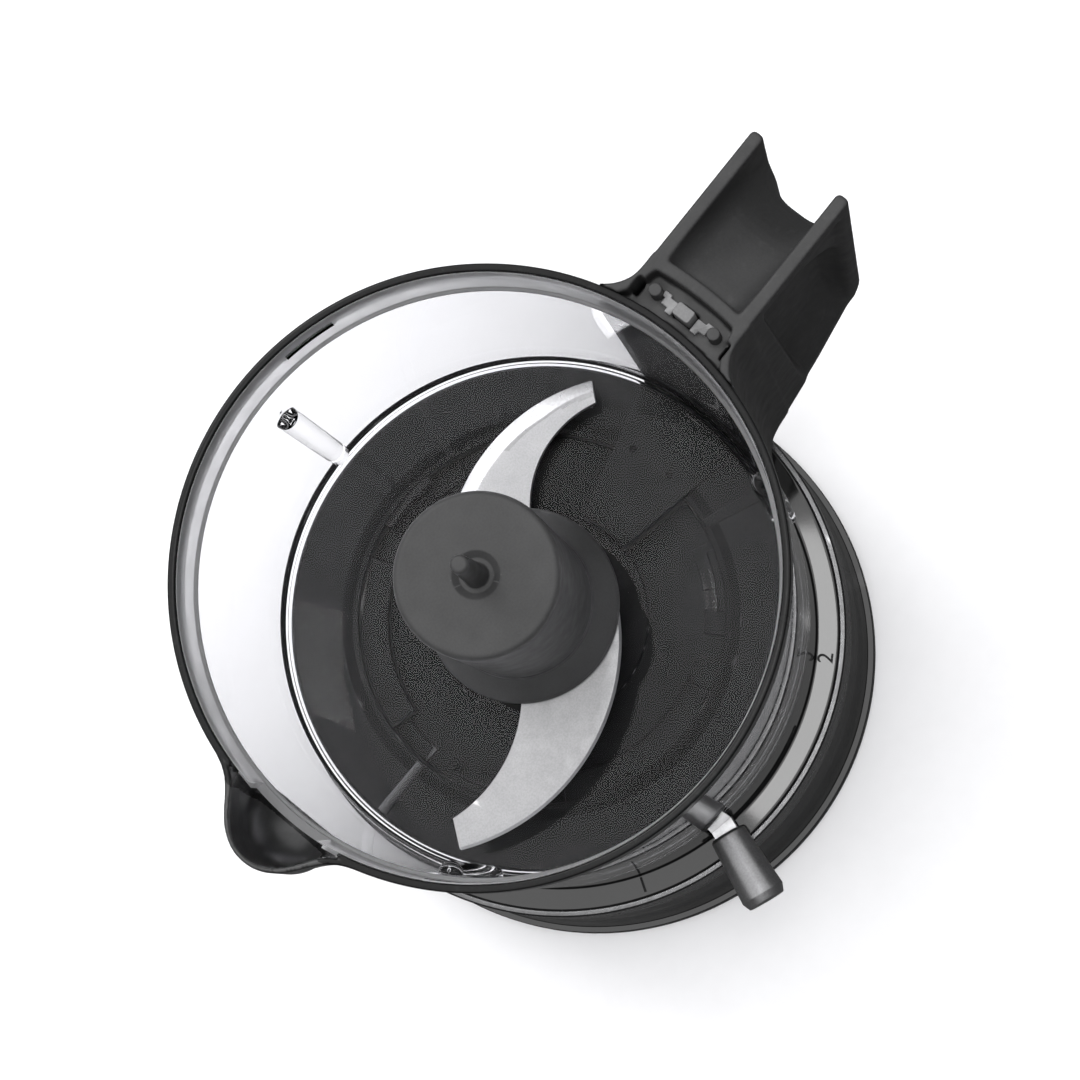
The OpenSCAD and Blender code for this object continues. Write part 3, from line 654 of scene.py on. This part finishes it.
def numeral(text, azimuth):
    """A small raised numeral standing on the ledge above the metal band."""
    curve = bpy.data.curves.new("numeral", "FONT")
    curve.body = text
    curve.size = 5.2 * MM
    curve.extrude = 0.25 * MM
    curve.align_x = "CENTER"
    curve.align_y = "CENTER"
    curve.resolution_u = 6
    made = bpy.data.objects.new("numeral", curve)
    bpy.context.collection.objects.link(made)
    a = math.radians(azimuth)
    turn = Matrix.Rotation(a + math.pi / 2, 4, "Z")
    spot = (MARK_R * MM * math.cos(a), MARK_R * MM * math.sin(a), MARK_Z * MM)
    shift = Matrix.Translation(spot)
    mesh = made.to_mesh()
    vertices = [(shift @ turn @ v.co) / MM for v in mesh.vertices]
    faces = [tuple(p.vertices) for p in mesh.polygons]
    made.to_mesh_clear()
    bpy.data.objects.remove(made)
    return piece(f"speed_mark_{text}", vertices, faces, FOOT, "base", [], "gloss_black", 30)


numeral("1", -122.5)
numeral("2", -57.5)


# ---------- bowl ----------

TUBE_TOP = 140  # of the centre tube that the hub goes over
FLOOR_TOP, FLOOR_UNDER = 97.2, 94.6
LIP_TOP = 171.5
RING_FOOT = 165.9  # where the rim ring, painted dark as shade in place of the thick clear lip, sits on the clear wall
clear = turned([
    (58.2, 88.3, 0.2), (60.8, 88.3, 0.3), (61, 98.3, 4), (62.4, LEDGE_IN_Z, 1),
    (BOWL_OUT, RING_FOOT, 0.2), (61.28, RING_FOOT, 0.05), (61.28, LIP_TOP, 0.1),
    (61.1, LIP_TOP, 0.1), (60.6, LEDGE_IN_Z, 0.3), (59.8, LEDGE_IN_Z, 0.35), (58.45, 98.6, 2),
    (57.2, FLOOR_TOP, 1.6), (10.4, FLOOR_TOP, 1), (9.2, 98.4, 1), (8.6, TUBE_TOP, 0.5),
    (7.2, TUBE_TOP, 0.3), (7.2, FLOOR_UNDER, 0.4), (58.0, FLOOR_UNDER, 0.6)], 4)
bowl = piece("bowl_clear", *clear, CLEAR, "bowl", ["bowl"], "clear_bowl", extra=(FROSTED,))


def lug(azimuth):
    """A bayonet hook under the bowl's floor, as an L-shaped section swept along an arc."""
    section = ((37.8, 88.4), (41.5, 88.4), (41.5, 90), (39.6, 90), (39.6, 95.2), (37.8, 95.2))
    per, rows = len(section), 13
    angles = np.radians(np.linspace(azimuth - 9.5, azimuth + 9.5, rows))
    vertices = [(r * math.cos(a), r * math.sin(a), z) for a in angles for r, z in section]
    faces = [tuple(range(per)), tuple(range(len(vertices) - per, len(vertices)))[::-1]]
    faces += [(i * per + j, i * per + (j + 1) % per, (i + 1) * per + (j + 1) % per, (i + 1) * per + j)
              for i in range(rows - 1) for j in range(per)]
    return np.array(vertices), faces


def rib(azimuth):
    """A half-round rib with a domed top on the bowl's inner wall."""
    at_r, radius = 59.4, 2.7
    spot = (at_r * math.cos(math.radians(azimuth)), at_r * math.sin(math.radians(azimuth)))
    return turned([(0, 96, 0), (radius, 96, 0), (radius, 146, 2.4), (0, 147.6, 0)], 6, 40, spot)


carve(bowl, [together(*[rib(a) for a in RIB_AZ], *[lug(a) for a in LUG_AZ])], "UNION")

# The mouth opens the lip into the pouring lip's cup, and its floor stands just over the ledge.
MOUTH_R = 9.6
mouth, mouth_faces = turned([
    (0, 149.4, 0), (MOUTH_R, 149.4, MOUTH_R), (MOUTH_R, 180, 0), (0, 180, 0)], 12, 64, SPOUT[:2])
mouth[:, 2] = np.maximum(mouth[:, 2], LEDGE_IN_Z + 0.6)
slots = [prism(arc_outline(60.4, 62.0, a - 5.6, a + 5.6), RIM_Z - 6.6, RIM_Z - 4.1)
         for a in SLOT_AZ]
carve(bowl, [(mouth, mouth_faces), together(*slots)], "DIFFERENCE")


def frosted(at, out):
    """True on the lip and on the cut edges of the mouth at the pouring lip."""
    reach = np.hypot(at[0], at[1])
    lip = (at[2] > LEDGE_IN_Z - 0.3) & (reach < 61.2)
    upright_cut = np.abs(out[0] * at[0] + out[1] * at[1]) < 0.8 * reach
    return lip | ((at[0] < -58) & (np.abs(at[1]) < 14) & (at[2] > 148) & upright_cut)


second_finish(bowl, frosted)


def rim_field(p):
    """The rim ring, widening into the pouring lip's open cup, painted dark as shade in place of the
    thick clear lip.
    """
    x, y, z = p[..., 0], p[..., 1], p[..., 2]
    reach = np.hypot(x, y)
    ring = np.hypot(np.maximum(np.abs(reach - 62.15) - 0.25, 0), np.maximum(166.5 - z, 0)) - 0.6
    cup = np.sqrt((x - SPOUT[0]) ** 2 + y ** 2 + np.minimum(z - SPOUT[2], 0) ** 2) - CUP_R
    fillet, wall = 9, 1.1
    flow = blend_in(ring, cup, fillet)
    solid = cut_by(within(flow, z - RIM_Z, 0.6), flow + wall, 0.7)
    inner_r = np.where(z > 166, 61.3, 62.75)
    return within(solid, inner_r - reach, 0.2)


RIM_GRID = (720, 32, 65)  # cells around, outwards and up


def rim_place(index):
    """Cylindrical grid round the rim, with its seam at the pouring lip."""
    turn = index[:, 0] / RIM_GRID[0]
    a = 2 * math.pi * turn + math.pi
    r = 60.8 + index[:, 1] * FIELD_STEP
    return np.stack([r * np.cos(a), r * np.sin(a), 143.6 + index[:, 2] * FIELD_STEP], 1)


rim = skin(rim_field, rim_place, RIM_GRID, loop=True)
rim_piece = piece("bowl_rim", *rim, RIM_PAINTED_DARK, "bowl", ["bowl"], "clear_bowl", 60, extra=(SPOUT_PAINTED_DARK,))
# The inside of the pouring lip's cup is less glossy than the ring, and its painted shade is a little
# lighter.
second_finish(rim_piece, lambda at, out: (np.hypot(at[0], at[1]) > 64.5) & (out[2] > -0.2))

# Dark strips behind the lip's slots: painted shade in the slots.
slot_backs = [prism(arc_outline(61.5, 62.1, a - 6.2, a + 6.2), RIM_Z - 7, RIM_Z - 3.8)
              for a in SLOT_AZ]
piece("rim_slots", *together(*slot_backs), RIM_PAINTED_DARK, "bowl", [], "clear_bowl")


# ---------- handle ----------

HALF = 12.3  # half the handle's width
TROUGH = 9.3  # half the width between its side walls
BRIDGE_R = 73.4  # outer radius of the bridge that closes the pocket beside the bowl

# Outlines seen from the side: the side walls', and that of the solid core between them.
SIDE = rounded([(58, RIM_Z + 5, 0), (HANDLE_X + 0.15, RIM_Z + 5, 0), (HANDLE_X - 2, 105, 14),
                (85.3, 87.2, 30), (71.5, 76.2, 6), (67, 73.4, 3), (58, 73.4, 0)], 4)
CORE = rounded([(58, RIM_Z - 4.6, 0), (74, RIM_Z - 4.6, 14), (91, RIM_Z - 12, 20),
                (HANDLE_X - 4, RIM_Z - 22, 14), (HANDLE_X - 4.6, 106, 14), (85.3, 90, 30),
                (71.5, 78, 6), (67, 75.4, 3), (58, 75.4, 0)], 4)

# Outline of the handle's root seen from above: a flare on each side, tangent to the bowl's wall.
FLARE_R = 10
flare_x = math.sqrt((63 + FLARE_R) ** 2 - (HALF + FLARE_R) ** 2)
flare = [(flare_x + FLARE_R * math.cos(math.radians(a)),
          HALF + FLARE_R + FLARE_R * math.sin(math.radians(a))) for a in range(-162, -89, 6)]
bridge = [(BRIDGE_R * math.cos(math.radians(a)), BRIDGE_R * math.sin(math.radians(a)))
          for a in range(9, -10, -2)]
PLAN = [(58, flare[0][1]), *flare, (72.2, HALF), *bridge, (72.2, -HALF),
        *[(x, -y) for x, y in flare[::-1]], (58, -flare[0][1])]

HANDLE_BORES = (  # x, y, radius, lower and upper end of each
    (ROD_X, 0, 1.3, 60, 112),  # start rod
    (ROD_X, 0, 2.5, 110, 126),  # its spring
    (*SCREW_AT, 1.35, 70, 92),  # screw
    (*SCREW_AT, 3, 60, 78),  # its head
    (POST_X, POST_Y, 1.5, 155, 164),  # pin
)


def ease(t):
    """0 to 1 as t goes from 0 to 1, flat at both ends."""
    t = np.clip(t, 0, 1)
    return t * t * (3 - 2 * t)


def upright(x, y, z, at_x, at_y, radius, low, high):
    """Distance to an upright cylinder."""
    return np.maximum(np.hypot(x - at_x, y - at_y) - radius,
                      np.abs(z - (low + high) / 2) - (high - low) / 2)


def handle_field(p):
    """Two scooped side walls and the sloping trough between them, flaring into the bowl's wall."""
    x, y, z = p[..., 0], np.abs(p[..., 1]), p[..., 2]
    reach = np.hypot(x, y)
    side = outline_distance(x, z, SIDE)
    core = outline_distance(x, z, CORE)
    plan = outline_distance(x, y, PLAN)
    below = RIM_Z - z

    # The scoop in the outer sides deepens where the core is solid, and fades out at its borders.
    end_x = HANDLE_X - 0.028 * below
    scoop = 1.4 + 3.6 * ease(-core / 5)
    scoop *= 0.3 + 0.7 * ease((z - 75 - 0.97 * (x - 69)) / 22)
    scoop *= ease((below - 3.2) / 3)
    scoop *= ease((end_x - 2.4 - x) / 3)
    scoop *= ease((x - 75.2 - 0.045 * below) / 2.5)

    # Side walls and core, then the root that flares into the bowl's wall.
    solid = blend_in(TROUGH - y, core, 6.5 + 1.5 * ease((x - 84) / 14))
    solid = within(solid, y - HALF + scoop, 1.1)
    solid = within(solid, side, 1.2)
    root = within(plan, side, 1.2)
    solid = within(blend_in(solid, root, 0.8), -below, 0.7)

    # The pocket between the bridge and the bowl, and the bowl's own wall.
    pocket = within(within(plan + 2.1, reach - (BRIDGE_R - 2.4), 2.2), below - 4.6, 0.8)
    solid = cut_by(solid, pocket, 0.7)
    solid = np.maximum(solid, np.where(z > LEDGE_IN_Z, RIM_OUT, BOWL_OUT) - reach)

    # Bores, the channel of the rod's flat upper part, and a hooked slot on each side.
    for bore in HANDLE_BORES:
        solid = np.maximum(solid, -upright(x, y, z, *bore))
    channel = np.maximum(np.abs(x - ROD_X) - 1.6, np.maximum(y - 2.3, 110 - z))
    solid = np.maximum(solid, -channel)
    slot_in = np.maximum(np.abs(x - 65.4) - 1.6, np.abs(y - 11.2) - 0.65)
    slot_out = np.maximum(np.abs(x - 66.6) - 0.6, np.abs(y - 11.9) - 1.3)
    slot = np.maximum(np.minimum(slot_in, slot_out), np.maximum(152 - z, plan + 0.9))
    return np.maximum(solid, -slot)


place, shape = box_grid((59.9, -19.8, 72.4), (105, 19.8, 173), FIELD_STEP)
handle = piece("handle", *skin(handle_field, place, shape), HANDLE, "bowl", ["bowl_handle"],
               "handle_grey", 70, extra=(BLACK,))


def pocket_painted_shade(at, out):
    """True on the walls and floor of the pocket between the bridge and the bowl, which get a darker
    finish as painted shade.
    """
    inside = outline_distance(at[0], np.abs(at[1]), PLAN) < -1.6
    near = np.hypot(at[0], at[1]) < BRIDGE_R - 2.2
    return inside & near & (at[2] > RIM_Z - 12) & (at[2] < RIM_Z - 0.8)


# The pocket's walls and floor take the darker black finish: painted shade in the recess.
second_finish(handle, pocket_painted_shade)

posts = [turned([(0, 155.1, 0), (1.45, 155.1, 0.2), (1.38, RIM_Z - 0.3, 0.35), (0, RIM_Z - 0.3, 0)],
                4, 40, (POST_X, s * POST_Y)) for s in (-1, 1)]
piece("handle_posts", *together(*posts), HUB, "bowl", ["handle_pins"], "handle_grey")


def tab(sign):
    """A moulded spring tab beside the rod, as a stepped outline."""
    outline = np.array([(64.6, 2.5), (64.6, 4.0), (65.6, 4.0), (65.6, 5.6), (67.0, 5.6),
                        (67.0, 6.4), (68.2, 6.4), (68.2, 4.6), (67.6, 4.6), (67.6, 2.5)])
    outline[:, 1] *= sign
    return prism(outline if sign > 0 else outline[::-1], RIM_Z - 10.9, RIM_Z - 3.4)


tabs = piece("rod_tabs", *together(tab(1), tab(-1)), TAB, "bowl", ["rod_guide"], "light_grey")
bevelled(tabs, 0.22)


def rounded_box(x, y, half_x, half_y, low, high, radius=0.6):
    """An upright block with rounded corners around x and y."""
    outline = []
    for sx, sy, start in ((1, 1, 0), (-1, 1, 90), (-1, -1, 180), (1, -1, 270)):
        for a in range(start, start + 91, 15):
            outline.append((x + sx * (half_x - radius) + radius * math.cos(math.radians(a)),
                            y + sy * (half_y - radius) + radius * math.sin(math.radians(a))))
    return prism(outline, low, high)


# The start rod: a flat upper part, a round shank and the toe that presses the plunger.
rod = piece("start_rod", *together(
    rounded_box(ROD_X, 0, 1.4, 2.05, 124, RIM_Z - 0.4),
    turned([(0, 71, 0), (1.15, 71, 0), (1.15, 124.5, 0), (0, 124.5, 0)], 2, 32, (ROD_X, 0)),
    rounded_box(64.8, 0, 2.9, 2, 70, 72.6, 0.5)), TAB, "rod", ["actuator_rod"], "light_grey")
bevelled(rod, 0.2)


# ---------- hub and blades ----------

hub = turned([
    (14.4, HUB_FOOT, 0.2), (16.2, HUB_FOOT, 0.3), (16.2, 114.6, 0.3), (21.2, 114.6, 0.3),
    (21.5, 115.2, 0.35), (21.1, 116.2, 0.5), (17.3, 121.0, 1.2), (16.75, 121.7, 0.3),
    (16.6, 122.6, 0.3), (16.4, 123.0, 0.5), (17.15, 166.4, 0), (17.2, 169.5, 2.1),
    (5.0, 169.5, 0.8), (3.6, 168.6, 0.6), (2.5, 168.6, 0.5), (1.95, PIN_TOP, 1.3), (0, PIN_TOP, 0),
    (0, 165.3, 0), (14.4, 165.3, 0.8)], 6)
piece("hub", *hub, HUB, "blades", ["blade_hub"], "hub_grey", 30)


def arc_point(centre, radius, root, tip, t):
    """The point at share t of the way along an arc that runs past the root and the tip."""
    start, end = [math.degrees(math.atan2(p[1] - centre[1], p[0] - centre[0])) for p in (root, tip)]
    a = math.radians(start + (end - start) * t)
    return np.array([centre[0] + radius * math.cos(a), centre[1] + radius * math.sin(a)])


def blade(name, edge_arc, back_arc, z, bevel, node):
    """A curved blade between two arcs, each a centre, radius, root and tip.

    The first arc is the cutting edge, and bevel is the width of the ground band along it. A wide
    band gets its own finish.
    """
    thick, soft, count = 1.4, 0.12, 96
    hub_r = 15.3
    rows = []
    for i in range(count + 1):
        t = 1 - (1 - i / count) ** 1.15
        edge, back = arc_point(*edge_arc, t), arc_point(*back_arc, t)
        width = np.linalg.norm(back - edge)
        inward = (back - edge) / width
        ground = min(bevel, width * 0.45)
        across = [(0, 0.05), (0.06, 0.2), (ground, thick - 0.03)]
        across += [(d, thick) for d in np.linspace(ground + 0.15, width - soft, 8)]
        across += [(width, thick - soft), (width, soft)]
        across += [(d, 0) for d in np.linspace(width - soft, 0.3, 8)]
        for d, h in across:
            spot = edge + inward * d
            reach = max(np.linalg.norm(spot), hub_r)
            rows.append((*(spot / np.linalg.norm(spot) * reach), z + h))
    per = len(rows) // (count + 1)
    faces = [(i * per + j, i * per + (j + 1) % per, (i + 1) * per + (j + 1) % per, (i + 1) * per + j)
             for i in range(count) for j in range(per)]
    faces += [tuple(range(per))[::-1], tuple(range(count * per, (count + 1) * per))]
    made = piece(name, rows, faces, BLADE, "blades", [node], "blade_steel", 20, extra=(EDGE,))
    if bevel > 2:
        centre, radius = edge_arc[:2]
        second_finish(made, lambda at, out: (out[2] > 0.1) & (
            np.hypot(at[0] - centre[0], at[1] - centre[1]) > radius - bevel))
    return made


blade("blade_lower", ((22.4, -11.2), 43, (-9.4, 17.7), (48.9, 23)),
      ((34, -3.4), 24.7, (12.6, 8.9), (45.4, 18.9)), 101, 4.0, "lower_blade")
blade("blade_upper", ((-21.9, 14.4), 46.5, (13.9, -15.4), (-49.7, -22.9)),
      ((-35.1, 13), 32, (-12.2, -9.4), (-45.4, -17.4)), 112.6, 0.5, "upper_blade")


# ---------- speed lever ----------

LEVER_PIN = (0, -28, 68.5)
LEVER_AZ = -110  # the way the lever points

knob, knob_faces = turned([
    (0, 35.3, 0), (3.8, 35.3, 0.2), (4.3, 35.9, 0.5), (5.25, 51.2, 0.5), (4.4, 53.1, 0.25),
    (0, 53.1, 0)], 5, 96)
lean = math.radians(LEVER_AZ)
along = np.array([math.cos(lean), math.sin(lean), 0])
side = np.array([-math.sin(lean), math.cos(lean), 0])
knob = (np.array(LEVER_PIN) + knob[:, 2:] * along + knob[:, :1] * side
        + knob[:, 1:2] * np.array([0, 0, 1]))
piece("lever_barrel", knob, knob_faces, LEVER, "lever", ["lever_knob"], "lever_metal", 30)


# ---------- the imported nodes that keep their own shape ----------

slot_of = {row["node"]: row["material_slot"] for row in frame["record"]["subparts"]}
for name, made in frame["nodes"].items():
    for held in made.material_slots:
        held.material = SLOT_FINISH[slot_of[name]]


# ---------- floor, lights and camera ----------

# Metres from here on. The floor lies just under the foot ring, so that the two don't coincide.
FLOOR_HALF, FLOOR_Z = 2, -0.0004
floor_mesh = bpy.data.meshes.new("floor")
floor_mesh.from_pydata([(x * FLOOR_HALF, y * FLOOR_HALF, FLOOR_Z)
                        for x, y in ((-1, -1), (1, -1), (1, 1), (-1, 1))], [], [(0, 1, 2, 3)])
floor = bpy.data.objects.new("floor", floor_mesh)
bpy.context.collection.objects.link(floor)
floor_mesh.materials.append(FLOOR)

world = bpy.data.worlds.new("studio")
world.use_nodes = True
world.node_tree.nodes["Background"].inputs["Color"].default_value = (1, 1, 1, 1)
world.node_tree.nodes["Background"].inputs["Strength"].default_value = 0.12
bpy.context.scene.world = world


def area_light(name, spot, size, power):
    """A soft box aimed at the middle of the bowl."""
    lamp = bpy.data.lights.new(name, "AREA")
    lamp.shape = "RECTANGLE"
    lamp.size, lamp.size_y = size
    lamp.energy = power
    made = bpy.data.objects.new(name, lamp)
    made.location = spot
    made.rotation_euler = (Vector((0, 0, 0.1)) - Vector(spot)).to_track_quat("-Z", "Y").to_euler()
    bpy.context.collection.objects.link(made)
    return made


area_light("ceiling_softbox", (0, 0.3, 2.0), (5, 5), 150)
area_light("key_softbox", (0.1, 1.5, 1.6), (1.0, 0.7), 14)
# This one shines straight down, and the ledge and the foot's step slope so that they mirror it.
ledge_light = area_light("ledge_softbox", (0.17, -0.035, 1.98), (0.5, 0.33), 3.4)
ledge_light.rotation_euler = (0, 0, 0)

EYE = (12.616, -125.498, 718.721)  # millimetres
HEADING, TILT, ROLL = -0.4, 12.297, -50.834  # degrees from looking straight down
camera = bpy.data.cameras.new("camera")
camera.lens = 94.27
camera.sensor_width = 36
eye = bpy.data.objects.new("camera", camera)
eye.matrix_world = (Matrix.Translation(Vector(EYE) * MM)
                    @ Matrix.Rotation(math.radians(HEADING), 4, "Z")
                    @ Matrix.Rotation(math.radians(TILT), 4, "X")
                    @ Matrix.Rotation(math.radians(ROLL), 4, "Z"))
bpy.context.collection.objects.link(eye)
bpy.context.scene.camera = eye
bpy.context.scene.view_settings.view_transform = "Standard"
